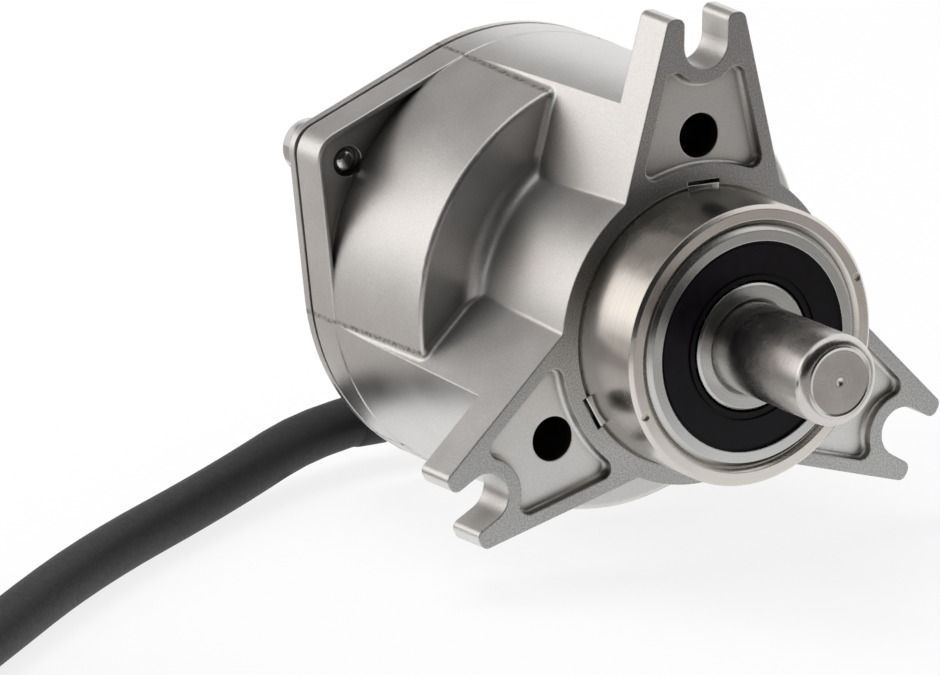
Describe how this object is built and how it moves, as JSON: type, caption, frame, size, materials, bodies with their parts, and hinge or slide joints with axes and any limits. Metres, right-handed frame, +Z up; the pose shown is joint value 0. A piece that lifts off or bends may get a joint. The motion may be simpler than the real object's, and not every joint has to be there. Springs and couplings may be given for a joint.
{
  "type": "incremental rotary encoder",
  "caption": "Rotary encoder with an eared cast flange, a proud steel bearing sleeve, a solid shaft and a cable that leaves the rear cover.",
  "frame": {"origin": "on the shaft axis, in the front mounting face of the flange", "axes": "+Z up along the top ear, +Y to the rear cover, the shaft end towards -Y"},
  "size_m": [0.2391, 0.142, 0.0725],
  "materials": {
    "cast_alloy": "bead-blasted casting",
    "turned_steel": "fine turned, satin",
    "ground_steel": "ground and polished",
    "shaft_steel": "turned, slightly stained",
    "zinc_screw": "bright plated",
    "black_rubber": "matte moulded",
    "seal_rubber": "satin moulded",
    "cable_jacket": "matte extruded",
    "black_plastic": "moulded",
    "board_green": "lacquered laminate",
    "disc_plastic": "polished",
    "lead_grey": "extruded",
    "brass_pins": "bright plated",
    "nickel_brass": "nickel plated",
    "cage_plastic": "moulded"
  },
  "bodies": {
    "body": {"housing": "cast_alloy", "bearing_sleeve": "turned_steel", "sleeve_keys": "ground_steel", "front_bearing_outer_ring": "ground_steel", "front_bearing_seals": "seal_rubber", "rear_bearing_outer_ring": "ground_steel", "rear_bearing_seals": "seal_rubber", "preload_ring": "turned_steel", "light_source": "black_plastic", "reading_head": "black_plastic", "scanner_board": "board_green", "board_chip": "black_plastic", "board_screws": "zinc_screw", "board_header": "black_plastic", "lead_plug": "black_plastic", "inner_leads": "lead_grey", "cover_gasket": "black_rubber", "rear_cover": "cast_alloy", "cover_screws": "zinc_screw", "gland_body": "nickel_brass", "gland_nut": "nickel_brass", "gland_seal": "black_rubber", "cable": "cable_jacket", "cable_coil": "cable_jacket", "cable_tail": "cable_jacket", "plug_body": "black_plastic", "plug_insert": "black_plastic", "plug_pins": "brass_pins"},
    "rotor": {"shaft": "shaft_steel", "front_bearing_inner_ring": "ground_steel", "rear_bearing_inner_ring": "ground_steel", "inner_spacer": "turned_steel", "snap_ring": "turned_steel", "disc_hub": "turned_steel", "hub_screw": "zinc_screw", "code_disc": "disc_plastic", "disc_clamp_ring": "turned_steel"},
    "front_cage": {"front_bearing_balls": "ground_steel", "front_bearing_cage": "cage_plastic"},
    "rear_cage": {"rear_bearing_balls": "ground_steel", "rear_bearing_cage": "cage_plastic"},
    "coupling_ring": {"plug_ring": "nickel_brass"}
  },
  "joints": [
    {"name": "shaft_spin", "type": "hinge", "parent": "body", "child": "rotor", "pos_m": [0, 0, 0], "axis": [0, 1, 0], "continuous": true},
    {"name": "front_cage_spin", "type": "hinge", "parent": "body", "child": "front_cage", "pos_m": [0, -0.0072, 0], "axis": [0, 1, 0], "continuous": true},
    {"name": "rear_cage_spin", "type": "hinge", "parent": "body", "child": "rear_cage", "pos_m": [0, 0.0098, 0], "axis": [0, 1, 0], "continuous": true},
    {"name": "coupling_ring_spin", "type": "hinge", "parent": "body", "child": "coupling_ring", "pos_m": [-0.1925, 0.1, -0.023], "axis": [0, 1, 0], "continuous": true}
  ],
  "couplings": [
    {"joint": "front_cage_spin", "follows": "shaft_spin", "ratio": 0.3682},
    {"joint": "rear_cage_spin", "follows": "shaft_spin", "ratio": 0.3682}
  ]
}
